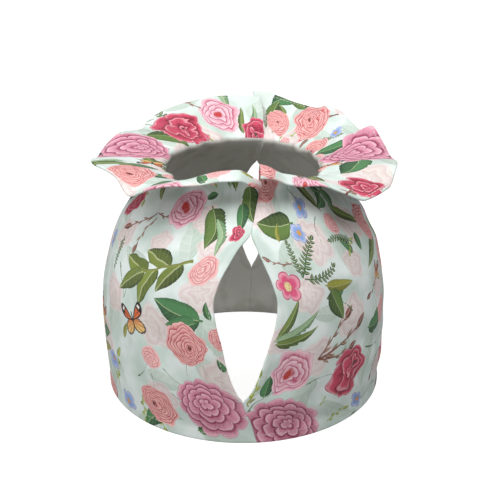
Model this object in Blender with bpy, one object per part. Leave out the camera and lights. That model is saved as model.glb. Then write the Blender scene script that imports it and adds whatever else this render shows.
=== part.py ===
"""Tea cosy of printed cloth: two half panels sewn together at the front and the back.

Each panel is one piece of cloth from the hem to the frill's edge. The body stands on its hem, closes
in to a gathered neck and opens again into a wavy frill. Both seams are left open along a slit. Metres,
+Z up, the front slit faces -Y, and the hem lies on z = 0. The tables below are in millimetres and
degrees, and an azimuth counts from the front round a panel's own side to the back.
"""
import math

import bmesh
import bpy
import numpy as np
from mathutils import Matrix


def table(names, rows):
    """A short table of rows, as columns by name."""
    return {name: np.array(column, float) for name, column in zip(names.split(), zip(*rows))}


MM = 0.001
CLOTH_THICKNESS = 2.0 * MM
SEAM_GAP = 0.4 * MM
NECK_HEIGHT = 140.0
HEM_BAND = 3.0
GATHER_DROP = 30.0
GATHER_WIDTH = 7.0
GATHER_AT_MIDDLE = 0.5
LAP_FADE = 16.0
SLOPE_STEP = 0.05
COLUMNS = 52
CLOTH_COLOUR = (0.80, 0.72, 0.71)
CLOTH_ROUGHNESS = 0.85

# The body's outer face, from the hem up to the neck.
BODY = table("height radius", (
    (0, 84.6), (HEM_BAND, 84.6), (20, 86.1), (42, 86.8), (66, 86.0), (88, 82.2), (104, 76.2),
    (116, 69.5), (125, 63.0), (132, 56.5), (137, 51.2), (NECK_HEIGHT, 49.2),
))
BODY_ROWS = (
    0, HEM_BAND, 10, 19, 27.4, 33, 40, 50, 61, 74, 87, 97, 106, 114, 120, 124.3, 129, 133, 136.8,
    NECK_HEIGHT,
)
FRILL_ROWS = (0.10, 0.22, 0.36, 0.52, 0.68, 0.84, 1.00)

# Where the seams run across the object, and how wide their slits stand open.
FRONT_SEAM = table("height middle opening", (
    (0, 8.0, 0), (12, 5.1, 0), (27.4, 0.0, 0), (33, 0.4, 7.2), (40, 0.6, 13.6), (50, 0.8, 20.0),
    (65, 1.6, 27.7), (76, 1.7, 33.4), (87, 1.5, 35.9), (99, 1.6, 29.3), (108, 2.0, 20.0),
    (116, 2.7, 10.6), (124.3, 4.8, 0), (NECK_HEIGHT, 8.8, 0),
))
BACK_SEAM = table("height middle opening", (
    (0, 4.0, 0), (33, 5.0, 0), (40, 5.2, 6.0), (50, 5.4, 13.0), (61, 5.6, 18.0), (74, 5.9, 20.5),
    (87, 6.3, 19.5), (97, 6.8, 16.5), (106, 7.4, 11.5), (114, 8.1, 5.5), (120, 8.7, 0),
    (NECK_HEIGHT, 13.0, 0),
))

# The frill's two laps, from the neck (rise 0) to the free edge (rise 1): where each panel's end lies
# across the object, and how far the left panel's end stands out in front of the right one's.
FRONT_LAP = table("rise left right spread", (
    (0, 8.8, 8.8, 0), (0.22, 8.6, 9.1, 1.0), (0.36, 8.6, 9.2, 1.8), (0.52, 10.0, 9.2, 2.4),
    (1, 11.2, 9.2, 2.8),
))
BACK_LAP = table("rise left right spread", (
    (0, 13.0, 13.0, 0), (0.22, 12.7, 13.3, -1.2), (0.36, 12.7, 13.1, -2.0), (0.52, 13.0, 10.4, -2.4),
    (1, 10.5, 5.6, -2.3),
))

# The frill's folds, a row for each: the cloth's middle and its free edge.
FRILL_COLUMNS = "azimuth middle_radius middle_height edge_radius edge_height"
LEFT_FRILL = table(FRILL_COLUMNS, (
    (-12, 53, 150, 56, 146), (-5, 52, 153, 58, 149), (2, 52, 155, 60, 152.5),
    (12, 53, 154, 62, 152), (21, 55, 152, 66, 150.5), (32, 60, 149, 74, 150),
    (40, 65, 147, 80, 147.5), (49, 67, 144, 84, 142), (57, 67, 146, 84, 148),
    (65, 69, 147, 87, 150.5), (80, 71, 146, 89.5, 146.5), (95, 69, 144, 87, 141.5),
    (106, 69, 144, 87, 142), (114, 66, 145, 83, 147), (121, 65, 145, 80, 146),
    (129, 65, 145, 82, 144), (136, 68, 145, 86, 146.5), (144, 70, 146, 87, 149.5),
    (155, 68, 148, 82, 154.8), (165, 67, 148, 80, 156.8), (175, 67, 148, 80, 156.7),
    (190, 66, 147, 79.5, 154),
))
RIGHT_FRILL = table(FRILL_COLUMNS, (
    (5, 52, 156, 58, 153), (15, 53, 154, 58, 152), (25, 54, 151, 60, 148), (34, 55, 149, 62, 146),
    (40, 58, 147, 67, 146), (46, 63, 145, 79, 143), (53, 68, 142, 86, 138),
    (67, 70, 143, 90, 138.5), (76, 71, 145, 91, 145.5), (95, 69, 144, 88, 142),
    (104, 68, 145, 86, 148), (110, 66, 147, 84, 153.5), (116, 64, 145, 80, 148),
    (125, 66, 146, 82, 150), (134, 68, 148, 84, 154), (140, 67, 148, 84, 154),
    (146, 66, 147, 84, 151), (155, 67, 147, 83, 153), (164, 67, 148, 81.5, 157.4),
    (170, 68, 148, 82, 160), (180, 68, 148, 82.5, 160.5),
))

# Troughs that the gathered neck pulls into the cloth.
LEFT_GATHERS = table("azimuth depth", (
    (8, 1.6), (27, 2.8), (44, 2.1), (66, 3), (85, 1.9), (103, 2.6), (124, 1.8), (141, 2.9),
    (160, 2.1), (176, 1.5),
))
RIGHT_GATHERS = table("azimuth depth", (
    (22, 2.6), (39, 1.9), (58, 2.9), (75, 2.1), (96, 2.8), (113, 1.8), (131, 3), (150, 2),
    (166, 1.4),
))


def clear_scene():
    for item in list(bpy.data.objects):
        bpy.data.objects.remove(item, do_unlink=True)


def smooth(values, key, column, at):
    """A table's column at a place along its key column, on a curve that never overshoots a row."""
    x, y = values[key], values[column]
    step = np.diff(x)
    rise = np.diff(y) / step
    both = rise[:-1] * rise[1:]
    total = np.where(both > 0, rise[:-1] + rise[1:], 1.0)
    slope = np.concatenate(([rise[0]], np.where(both > 0, 2 * both / total, 0.0), [rise[-1]]))
    i = int(np.clip(np.searchsorted(x, at) - 1, 0, len(step) - 1))
    t = float(np.clip((at - x[i]) / step[i], 0.0, 1.0))
    start = (2 * t ** 3 - 3 * t ** 2 + 1) * y[i] + (t ** 3 - 2 * t ** 2 + t) * step[i] * slope[i]
    end = (3 * t ** 2 - 2 * t ** 3) * y[i + 1] + (t ** 3 - t ** 2) * step[i] * slope[i + 1]
    return float(start + end)


def ease(t):
    t = min(max(t, 0.0), 1.0)
    return t * t * (3 - 2 * t)


def gather_depth(gathers, azimuth):
    """How deep the neck's gathers are at an azimuth."""
    away = (azimuth - gathers["azimuth"]) / GATHER_WIDTH
    return float((gathers["depth"] * np.exp(-away ** 2)).sum())


def body_point(gathers, azimuth, height):
    """Radius and height of the body's outer face."""
    pull = ease(1 - (NECK_HEIGHT - height) / GATHER_DROP)
    return smooth(BODY, "height", "radius", height) - pull * gather_depth(gathers, azimuth), height


def frill_point(frill, gathers, azimuth, rise):
    """Radius and height of the frill's outer face on a curve through its neck, middle and edge."""
    neck = np.array(body_point(gathers, azimuth, NECK_HEIGHT))
    middle_radius, middle_height, edge_radius, edge_height = (
        smooth(frill, "azimuth", column, azimuth) for column in FRILL_COLUMNS.split()[1:]
    )
    middle_radius -= gather_depth(gathers, azimuth) * GATHER_AT_MIDDLE
    middle, edge = np.array((middle_radius, middle_height)), np.array((edge_radius, edge_height))
    handle = 2 * middle - (neck + edge) / 2
    return (1 - rise) ** 2 * neck + 2 * rise * (1 - rise) * handle + rise ** 2 * edge


def panel_ends(side, front_x, back_x, front_radius, back_radius):
    """The azimuths at which a panel begins at the front and ends at the back."""
    turn = 1 if side == "right" else -1
    half_gap = SEAM_GAP / MM / 2
    first = math.asin((turn * front_x + half_gap) / front_radius)
    last = math.pi - math.asin((turn * back_x + half_gap) / back_radius)
    return math.degrees(first), math.degrees(last)


def seam_edge(seam, side, height):
    """Where a panel's edge lies across the object at a height."""
    half = smooth(seam, "height", "opening", height) / 2
    return smooth(seam, "height", "middle", height) + (half if side == "right" else -half)


def body_row(side, gathers, height):
    radius = smooth(BODY, "height", "radius", height)
    front_x, back_x = seam_edge(FRONT_SEAM, side, height), seam_edge(BACK_SEAM, side, height)
    first, last = panel_ends(side, front_x, back_x, radius, radius)
    return [(a, *body_point(gathers, a, height)) for a in np.linspace(first, last, COLUMNS + 1)]


def frill_row(side, frill, gathers, rise):
    """A row of the frill, its ends bent apart along the cloth's own slope so that they can lap."""
    front_x, back_x = smooth(FRONT_LAP, "rise", side, rise), smooth(BACK_LAP, "rise", side, rise)
    front_radius = frill_point(frill, gathers, 0.0, rise)[0]
    back_radius = frill_point(frill, gathers, 180.0, rise)[0]
    first, last = panel_ends(side, front_x, back_x, front_radius, back_radius)
    turn = 1 if side == "left" else -1
    front_spread = turn * smooth(FRONT_LAP, "rise", "spread", rise)
    back_spread = turn * smooth(BACK_LAP, "rise", "spread", rise)
    row = []
    for azimuth in np.linspace(first, last, COLUMNS + 1):
        radius, height = frill_point(frill, gathers, azimuth, rise)
        before = frill_point(frill, gathers, azimuth, rise - SLOPE_STEP)
        after = frill_point(frill, gathers, azimuth, rise + SLOPE_STEP)
        slope = math.atan2(after[1] - before[1], after[0] - before[0])
        shift = front_spread * ease(1 - (azimuth - first) / LAP_FADE)
        shift += back_spread * ease(1 - (last - azimuth) / LAP_FADE)
        row.append((azimuth, radius + shift * math.sin(slope), height - shift * math.cos(slope)))
    return row


def outer_rows(side, frill, gathers):
    """Rows of the outer face from the hem to the frill's edge, as azimuth, radius and height."""
    rows = [body_row(side, gathers, height) for height in BODY_ROWS]
    rows += [frill_row(side, frill, gathers, rise) for rise in FRILL_ROWS]
    return np.array(rows)


def inner_rows(rows):
    """The same rows one thickness further in, square to the cloth in the plane through the axis."""
    along = np.gradient(rows[:, :, 1:], axis=0)
    along /= np.linalg.norm(along, axis=2, keepdims=True)
    inner = rows.copy()
    inner[:, :, 1] -= CLOTH_THICKNESS / MM * along[:, :, 1]
    inner[:, :, 2] += CLOTH_THICKNESS / MM * along[:, :, 0]
    return inner


def cloth_material(name):
    material = bpy.data.materials.new(name)
    material.use_nodes = True
    shader = material.node_tree.nodes["Principled BSDF"]
    shader.inputs["Base Color"].default_value = (*CLOTH_COLOUR, 1.0)
    shader.inputs["Roughness"].default_value = CLOTH_ROUGHNESS
    return material


def add_rows(sheet, rows, turn):
    """A face's rows as vertices of the mesh, in metres."""
    angle, radius, height = np.radians(rows[:, :, 0]), rows[:, :, 1] * MM, rows[:, :, 2] * MM
    places = np.stack((turn * radius * np.sin(angle), -radius * np.cos(angle), height), axis=-1)
    return [[sheet.verts.new(place) for place in row] for row in places.tolist()]


def bridge(sheet, one, other, turned):
    """Faces between two rows of as many vertices."""
    for i in range(len(one) - 1):
        corners = [one[i], one[i + 1], other[i + 1], other[i]]
        sheet.faces.new(corners[::-1] if turned else corners)


def make_panel(side, frill, gathers, collection):
    """One half panel as a loft of unlike rows: its outer face, its inner face and its four cut edges."""
    mirrored = side == "left"
    turn = -1 if mirrored else 1
    outer = outer_rows(side, frill, gathers)
    sheet = bmesh.new()
    outside, inside = add_rows(sheet, outer, turn), add_rows(sheet, inner_rows(outer), turn)
    for rows, turned in ((outside, mirrored), (inside, not mirrored)):
        for low, high in zip(rows[:-1], rows[1:]):
            bridge(sheet, low, high, turned)
    bridge(sheet, inside[0], outside[0], mirrored)
    bridge(sheet, outside[-1], inside[-1], mirrored)
    for column, turned in ((0, mirrored), (-1, not mirrored)):
        bridge(sheet, [row[column] for row in outside], [row[column] for row in inside], turned)
    mesh = bpy.data.meshes.new(side + "_panel")
    sheet.to_mesh(mesh)
    sheet.free()
    mesh.materials.append(cloth_material(side + "_cloth"))
    panel = bpy.data.objects.new(side + "_panel", mesh)
    collection.objects.link(panel)
    return panel


def centre_on_origin(panels):
    """Puts the middle of the whole cosy's plan over the origin, with the hem left on the ground."""
    points = np.array([vertex.co[:2] for panel in panels for vertex in panel.data.vertices])
    x, y = (points.min(axis=0) + points.max(axis=0)) / 2
    for panel in panels:
        panel.data.transform(Matrix.Translation((-x, -y, 0.0)))


def main():
    clear_scene()
    collection = bpy.data.collections.new("tea_cosy")
    bpy.context.scene.collection.children.link(collection)
    left = make_panel("left", LEFT_FRILL, LEFT_GATHERS, collection)
    right = make_panel("right", RIGHT_FRILL, RIGHT_GATHERS, collection)
    centre_on_origin((left, right))


main()
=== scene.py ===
"""Dresses the tea cosy: two gathered panels of printed cloth on a plain pale stage.

Lengths in the tables are in millimetres and angles in degrees. An azimuth counts from the front round
a panel's own side to the back. The flat cloth is measured across from the panel's front edge and up
from its hem; the frill's top face carries on over the free edge, so it has the highest numbers.
"""
import math
from functools import partial

import bpy
import numpy as np
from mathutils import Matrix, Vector


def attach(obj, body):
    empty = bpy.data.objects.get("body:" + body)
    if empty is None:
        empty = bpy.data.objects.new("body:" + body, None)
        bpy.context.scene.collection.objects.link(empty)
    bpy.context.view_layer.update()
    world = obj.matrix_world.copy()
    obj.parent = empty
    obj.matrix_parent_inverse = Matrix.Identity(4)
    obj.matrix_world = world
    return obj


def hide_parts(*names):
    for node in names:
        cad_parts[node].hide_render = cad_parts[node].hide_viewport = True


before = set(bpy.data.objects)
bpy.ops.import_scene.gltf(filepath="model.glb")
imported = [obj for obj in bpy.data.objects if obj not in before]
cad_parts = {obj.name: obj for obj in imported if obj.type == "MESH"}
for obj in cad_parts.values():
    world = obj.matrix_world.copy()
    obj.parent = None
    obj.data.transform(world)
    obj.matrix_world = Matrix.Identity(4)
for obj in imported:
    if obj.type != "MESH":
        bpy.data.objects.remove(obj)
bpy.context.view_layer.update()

bl_info = {
    "name": "Printed Tea Cosy",
    "version": (1, 0, 0),
    "blender": (4, 5, 0),
    "location": "3D View > Sidebar > Tea Cosy",
    "description": "Builds a gathered tea cosy of floral cloth and a pale stage for it",
    "category": "Add Mesh",
}


def table(names, rows):
    """A short table of rows, as columns by name."""
    return {name: np.array(column, float) for name, column in zip(names.split(), zip(*rows))}


MM = 0.001

# Which way across the object, and which way round, each panel lies; the seeds of its random draws.
SIGN = {"left": -1, "right": 1}
PLEAT_SEED = {"left": 11, "right": 23}
WAVE_SEED = {"left": 5, "right": 8}
PRINT_SEED = {"left": 41, "right": 67}

# The CAD's cloth thickness, neck and hem, the reach of its gathers and laps, and its plan's middle.
CAD_THICKNESS = 2.0
NECK_HEIGHT = 140.0
HEM_BAND = 3.0
GATHER_DROP = 30.0
GATHER_WIDTH = 7.0
GATHER_AT_MIDDLE = 0.5
LAP_FADE = 16.0
SLOPE_STEP = 0.05
PLAN_CENTRE = (-0.575, -0.095)

# The body's outer face, from the hem up to the neck.
BODY = table("height radius", (
    (0, 84.6), (HEM_BAND, 84.6), (20, 86.1), (42, 86.8), (66, 86.0), (88, 82.2), (104, 76.2),
    (116, 69.5), (125, 63.0), (132, 56.5), (137, 51.2), (NECK_HEIGHT, 49.2),
))

# Where the seams run across the object, and how wide their slits stand open.
FRONT_SEAM = table("height middle opening", (
    (0, 8.0, 0), (12, 5.1, 0), (27.4, 0.0, 0), (33, 0.4, 7.2), (40, 0.6, 13.6), (50, 0.8, 20.0),
    (65, 1.6, 27.7), (76, 1.7, 33.4), (87, 1.5, 35.9), (99, 1.6, 29.3), (108, 2.0, 20.0),
    (116, 2.7, 10.6), (124.3, 4.8, 0), (NECK_HEIGHT, 8.8, 0),
))
BACK_SEAM = table("height middle opening", (
    (0, 4.0, 0), (33, 5.0, 0), (40, 5.2, 6.0), (50, 5.4, 13.0), (61, 5.6, 18.0), (74, 5.9, 20.5),
    (87, 6.3, 19.5), (97, 6.8, 16.5), (106, 7.4, 11.5), (114, 8.1, 5.5), (120, 8.7, 0),
    (NECK_HEIGHT, 13.0, 0),
))

# The frill's two laps, from the neck (rise 0) to the free edge (rise 1).
FRONT_LAP = table("rise left right spread", (
    (0, 8.8, 8.8, 0), (0.22, 8.6, 9.1, 1.0), (0.36, 8.6, 9.2, 1.8), (0.52, 10.0, 9.2, 2.4),
    (1, 11.2, 9.2, 2.8),
))
BACK_LAP = table("rise left right spread", (
    (0, 13.0, 13.0, 0), (0.22, 12.7, 13.3, -1.2), (0.36, 12.7, 13.1, -2.0), (0.52, 13.0, 10.4, -2.4),
    (1, 10.5, 5.6, -2.3),
))

# The frill's folds, a row for each: the cloth's middle and its free edge.
FRILL_COLUMNS = "azimuth middle_radius middle_height edge_radius edge_height"
FRILLS = {
    "left": table(FRILL_COLUMNS, (
        (-12, 53, 150, 56, 146), (-5, 52, 153, 58, 149), (2, 52, 155, 60, 152.5),
        (12, 53, 154, 62, 152), (21, 55, 152, 66, 150.5), (32, 60, 149, 74, 150),
        (40, 65, 147, 80, 147.5), (49, 67, 144, 84, 142), (57, 67, 146, 84, 148),
        (65, 69, 147, 87, 150.5), (80, 71, 146, 89.5, 146.5), (95, 69, 144, 87, 141.5),
        (106, 69, 144, 87, 142), (114, 66, 145, 83, 147), (121, 65, 145, 80, 146),
        (129, 65, 145, 82, 144), (136, 68, 145, 86, 146.5), (144, 70, 146, 87, 149.5),
        (155, 68, 148, 82, 154.8), (165, 67, 148, 80, 156.8), (175, 67, 148, 80, 156.7),
        (190, 66, 147, 79.5, 154),
    )),
    "right": table(FRILL_COLUMNS, (
        (5, 52, 156, 58, 153), (15, 53, 154, 58, 152), (25, 54, 151, 60, 148), (34, 55, 149, 62, 146),
        (40, 58, 147, 67, 146), (46, 63, 145, 79, 143), (53, 68, 142, 86, 138),
        (67, 70, 143, 90, 138.5), (76, 71, 145, 91, 145.5), (95, 69, 144, 88, 142),
        (104, 68, 145, 86, 148), (110, 66, 147, 84, 153.5), (116, 64, 145, 80, 148),
        (125, 66, 146, 82, 150), (134, 68, 148, 84, 154), (140, 67, 148, 84, 154),
        (146, 66, 147, 84, 151), (155, 67, 147, 83, 153), (164, 67, 148, 81.5, 157.4),
        (170, 68, 148, 82, 160), (180, 68, 148, 82.5, 160.5),
    )),
}

# Troughs that the gathered neck pulls into the cloth.
GATHERS = {
    "left": table("azimuth depth", (
        (8, 1.6), (27, 2.8), (44, 2.1), (66, 3), (85, 1.9), (103, 2.6), (124, 1.8), (141, 2.9),
        (160, 2.1), (176, 1.5),
    )),
    "right": table("azimuth depth", (
        (22, 2.6), (39, 1.9), (58, 2.9), (75, 2.1), (96, 2.8), (113, 1.8), (131, 3), (150, 2),
        (166, 1.4),
    )),
}

# The flat cloth and its grid: close steps round the edge, then rows at a pitch and even columns.
FLAT_WIDTH = 272.0
NECK_UP = 148.0
COLUMNS = 244
ROW_PITCH = 1.5
FIRST_ROW = 2.2
LAST_ROW_GAP = 0.5
EDGE_STEPS = np.array((0.0, 0.06, 0.2, 0.42, 0.75))
FRILL_REACH = 42.0
FRILL_RISES = np.arange(0.035, 0.965, 0.034)

# The cloth's thickness and what its turned, sewn edges add; how wide the turns are and blend out.
CLOTH_THICKNESS = 1.2
TURNED_EDGE = 0.45
HEM_TURN = 7.0
SLIT_TURN = 4.5
FRILL_TURN = 3.0
FRILL_TURN_SHARE = 0.6
TURN_BLEND = 1.2

# The small forms: pleats in the neck, soft waves, and the pinch along a sewn seam.
FINE_GATHERS = 36
FINE_DROP = 24.0
FINE_DEPTH = 0.8
SOFT_WAVES = 9
WAVE_HEIGHT = 0.16
WAVE_FADE = 12
HEM_FADE = 10
SEAM_PINCH = 0.5
PINCH_WIDTH = 2.2
PINCH_FADE = 6
OPEN_SLIT = 3


def smooth(values, key, column, at):
    """A table's column at places along its key column, on a curve that never overshoots a row."""
    x, y = values[key], values[column]
    at = np.asarray(at, float)
    step = np.diff(x)
    rise = np.diff(y) / step
    both = rise[:-1] * rise[1:]
    total = np.where(both > 0, rise[:-1] + rise[1:], 1.0)
    slope = np.concatenate(([rise[0]], np.where(both > 0, 2 * both / total, 0.0), [rise[-1]]))
    i = np.clip(np.searchsorted(x, at) - 1, 0, len(step) - 1)
    t = np.clip((at - x[i]) / step[i], 0.0, 1.0)
    start = (2 * t ** 3 - 3 * t ** 2 + 1) * y[i] + (t ** 3 - 2 * t ** 2 + t) * step[i] * slope[i]
    end = (3 * t ** 2 - 2 * t ** 3) * y[i + 1] + (t ** 3 - t ** 2) * step[i] * slope[i + 1]
    return start + end


def ease(t):
    t = np.clip(t, 0.0, 1.0)
    return t * t * (3 - 2 * t)


def gather_depth(side, azimuth):
    """How deep the neck's gathers are at each azimuth."""
    away = (azimuth[..., None] - GATHERS[side]["azimuth"]) / GATHER_WIDTH
    return (GATHERS[side]["depth"] * np.exp(-away ** 2)).sum(axis=-1)


def fine_pleats(side, azimuth):
    """Small uneven pleats between the gathers, about one millimetre deep at most."""
    rng = np.random.default_rng(PLEAT_SEED[side])
    at = np.linspace(3, 177, FINE_GATHERS) + rng.uniform(-2.0, 2.0, FINE_GATHERS)
    depth, width = rng.uniform(0.2, 1.0, FINE_GATHERS), rng.uniform(1.0, 2.0, FINE_GATHERS)
    away = (azimuth[..., None] - at) / width
    return (depth * np.exp(-away ** 2)).sum(axis=-1)


def body_radius(side, azimuth, height):
    """Radius of the body's outer face, drawn in by the gathers and pleats under the neck."""
    pull = ease(1 - (NECK_HEIGHT - height) / GATHER_DROP)
    pinch = ease(1 - (NECK_HEIGHT - height) / FINE_DROP)
    radius = smooth(BODY, "height", "radius", height) - pull * gather_depth(side, azimuth)
    return radius - FINE_DEPTH * pinch * fine_pleats(side, azimuth)


def frill_point(side, azimuth, rise):
    """Radius and height of the frill's outer face on a curve through its neck, middle and edge."""
    neck_radius = body_radius(side, azimuth, NECK_HEIGHT)
    middle_radius, middle_height, edge_radius, edge_height = (
        smooth(FRILLS[side], "azimuth", column, azimuth) for column in FRILL_COLUMNS.split()[1:]
    )
    middle_radius = middle_radius - gather_depth(side, azimuth) * GATHER_AT_MIDDLE
    handle_radius = 2 * middle_radius - (neck_radius + edge_radius) / 2
    handle_height = 2 * middle_height - (NECK_HEIGHT + edge_height) / 2
    a, b, c = (1 - rise) ** 2, 2 * rise * (1 - rise), rise ** 2
    radius = a * neck_radius + b * handle_radius + c * edge_radius
    height = a * NECK_HEIGHT + b * handle_height + c * edge_height
    return radius, height


def panel_ends(side, front_x, back_x, front_radius, back_radius):
    """The azimuths at which a panel begins at the front and ends at the back."""
    first = np.degrees(np.arcsin(SIGN[side] * front_x / front_radius))
    return first, 180 - np.degrees(np.arcsin(SIGN[side] * back_x / back_radius))


def seam_edge(seam, side, height):
    half = smooth(seam, "height", "opening", height) / 2
    return smooth(seam, "height", "middle", height) + SIGN[side] * half


def column_places():
    """Where the columns lie across the flat panel, closest together at its two edges."""
    inner = np.linspace(2 * EDGE_STEPS[-1], FLAT_WIDTH - 2 * EDGE_STEPS[-1], COLUMNS)
    return np.concatenate((EDGE_STEPS, inner, FLAT_WIDTH - EDGE_STEPS[::-1]))


def body_row(side, height):
    radius = smooth(BODY, "height", "radius", height)
    front_x, back_x = seam_edge(FRONT_SEAM, side, height), seam_edge(BACK_SEAM, side, height)
    first, last = panel_ends(side, front_x, back_x, radius, radius)
    azimuth = first + (last - first) * column_places() / FLAT_WIDTH
    return np.stack(np.broadcast_arrays(azimuth, body_radius(side, azimuth, height), height), axis=-1)


def frill_row(side, rise):
    """A row of the frill, its ends bent apart along the cloth's own slope so that they can lap."""
    front_x, back_x = smooth(FRONT_LAP, "rise", side, rise), smooth(BACK_LAP, "rise", side, rise)
    front_radius, back_radius = frill_point(side, np.array([0.0, 180.0]), rise)[0]
    first, last = panel_ends(side, front_x, back_x, front_radius, back_radius)
    azimuth = first + (last - first) * column_places() / FLAT_WIDTH
    radius, height = frill_point(side, azimuth, rise)
    before = frill_point(side, azimuth, rise - SLOPE_STEP)
    after = frill_point(side, azimuth, rise + SLOPE_STEP)
    slope = np.arctan2(after[1] - before[1], after[0] - before[0])
    front_spread, back_spread = (-SIGN[side] * smooth(lap, "rise", "spread", rise)
                                 for lap in (FRONT_LAP, BACK_LAP))
    shift = front_spread * ease(1 - (azimuth - first) / LAP_FADE)
    shift = shift + back_spread * ease(1 - (last - azimuth) / LAP_FADE)
    return np.stack((azimuth, radius + shift * np.sin(slope), height - shift * np.cos(slope)), axis=-1)


def outer_rows(side):
    """Rows of the CAD's outer face from hem to frill edge, finer, and how many belong to the body."""
    inner = np.arange(FIRST_ROW, NECK_HEIGHT - LAST_ROW_GAP, ROW_PITCH)
    heights = np.concatenate((EDGE_STEPS, inner, [NECK_HEIGHT]))
    rises = np.concatenate((FRILL_RISES, 1 - EDGE_STEPS[::-1] / FRILL_REACH))
    rows = [body_row(side, height) for height in heights] + [frill_row(side, rise) for rise in rises]
    return np.array(rows), len(heights)


def to_space(rows, side):
    angle, radius, height = np.radians(rows[..., 0]), rows[..., 1], rows[..., 2]
    x = SIGN[side] * radius * np.sin(angle) + PLAN_CENTRE[0]
    return np.stack((x, -radius * np.cos(angle) + PLAN_CENTRE[1], height), axis=-1)


def outward(points, side):
    """The cloth's normal at each point of a grid of rows, away from the inside."""
    normal = np.cross(np.gradient(points, axis=1), np.gradient(points, axis=0))
    return SIGN[side] * normal / np.maximum(np.linalg.norm(normal, axis=-1, keepdims=True), 1e-12)


def slit_open(height):
    """1 where the front and the back seam stand open at a height, for each of the two."""
    front, back = (smooth(seam, "height", "opening", height) for seam in (FRONT_SEAM, BACK_SEAM))
    return np.clip(front / OPEN_SLIT, 0, 1), np.clip(back / OPEN_SLIT, 0, 1)


def relief(side, rows, across, up):
    """Soft unevenness of the cloth, and the dip along its sewn seams."""
    rng = np.random.default_rng(WAVE_SEED[side])
    soft = np.zeros_like(across)
    for _ in range(SOFT_WAVES):
        wave, tilt, phase = rng.uniform(18, 55), rng.uniform(0, math.tau), rng.uniform(0, math.tau)
        soft += np.sin(math.tau * (across * math.cos(tilt) + up * math.sin(tilt)) / wave + phase)
    front, back = slit_open(rows[..., 2])
    from_front, from_back = across, FLAT_WIDTH - across
    fade = ease(from_front / WAVE_FADE) * ease(from_back / WAVE_FADE) * ease(up / HEM_FADE)
    dip = (1 - front) * np.exp(-(from_front / PINCH_WIDTH) ** 2)
    dip = dip + (1 - back) * np.exp(-(from_back / PINCH_WIDTH) ** 2)
    dip = dip * ease(up / PINCH_FADE) * ease((NECK_HEIGHT - rows[..., 2]) / PINCH_FADE)
    return WAVE_HEIGHT * soft * fade - SEAM_PINCH * dip


def half_thickness(rows, across, up):
    """Half the cloth's thickness, more where an edge is turned in and sewn, and rounded at the rim."""
    top = up.max()
    front, back = slit_open(rows[..., 2])
    turned = np.zeros_like(across)
    for share, width, away in ((1, HEM_TURN, up), (front, SLIT_TURN, across),
                               (back, SLIT_TURN, FLAT_WIDTH - across),
                               (FRILL_TURN_SHARE, FRILL_TURN, top - up)):
        turned = np.maximum(turned, share * ease((width - away) / TURN_BLEND + 0.5))
    half = (CLOTH_THICKNESS + TURNED_EDGE * turned) / 2
    inset = np.minimum(np.minimum(across, FLAT_WIDTH - across), np.minimum(up, top - up))
    inset = np.clip(inset / half, 0, 1)
    return half * np.sqrt(1 - (1 - inset) ** 2)


def panel_grid(side):
    """The panel's two faces as grids of points, with each point's place on the flat cloth."""
    rows, body_rows = outer_rows(side)
    along = np.gradient(rows[:, :, 1:], axis=0)
    along /= np.linalg.norm(along, axis=2, keepdims=True)
    rows[:, :, 1] -= CAD_THICKNESS / 2 * along[:, :, 1]
    rows[:, :, 2] += CAD_THICKNESS / 2 * along[:, :, 0]
    points = to_space(rows, side)
    climb = np.linalg.norm(np.diff(points, axis=0), axis=2).mean(axis=1)
    up = np.concatenate(([0.0], np.cumsum(climb)))
    across, up = np.broadcast_arrays(column_places()[None, :], up[:, None])
    points = points + outward(points, side) * relief(side, rows, across, up)[..., None]
    thick = outward(points, side) * half_thickness(rows, across, up)[..., None]
    return points + thick, points - thick, across, up, body_rows


def panel_mesh(side):
    """A panel's closed mesh, each corner's place on the flat cloth, each face's material number (0 for
    printed, 1 for the plain back), and the flat cloth's height."""
    outer, inner, across, up, body_rows = panel_grid(side)
    count_rows, count_columns = across.shape
    outside = np.arange(across.size).reshape(across.shape)
    inside = outside.copy()
    inside[1:-1, 1:-1] = across.size + np.arange((count_rows - 2) * (count_columns - 2)).reshape(
        count_rows - 2, count_columns - 2)
    points = np.concatenate((outer.reshape(-1, 3), inner[1:-1, 1:-1].reshape(-1, 3))) * MM

    def quads(index):
        corners = np.stack((index[:-1, :-1], index[:-1, 1:], index[1:, 1:], index[1:, :-1]), axis=-1)
        return corners.reshape(-1, 4)

    faces, places = (np.concatenate((quads(front)[:, ::SIGN[side]], quads(back)[:, ::-SIGN[side]]))
                     for front, back in ((outside, inside), (outside, outside)))
    mesh = bpy.data.meshes.new(side + "_panel_cloth")
    mesh.from_pydata(points.tolist(), [], faces.tolist())
    mesh.shade_smooth()
    flat = np.stack((across.ravel(), up.ravel()), axis=-1)[places]
    back = np.arange(len(faces)) >= len(faces) // 2
    frill = (places // count_columns).min(axis=1) >= body_rows - 1
    flat[back & frill, :, 1] = 2 * up.max() - flat[back & frill, :, 1]
    return mesh, flat, (back & ~frill).astype(np.int32), float(up.max())


def linear(code):
    """A colour typed as #RRGGBB, in the scene's linear numbers."""
    parts = [int(code[i:i + 2], 16) / 255 for i in (1, 3, 5)]
    return tuple(c / 12.92 if c <= 0.04045 else ((c + 0.055) / 1.055) ** 2.4 for c in parts)


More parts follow.
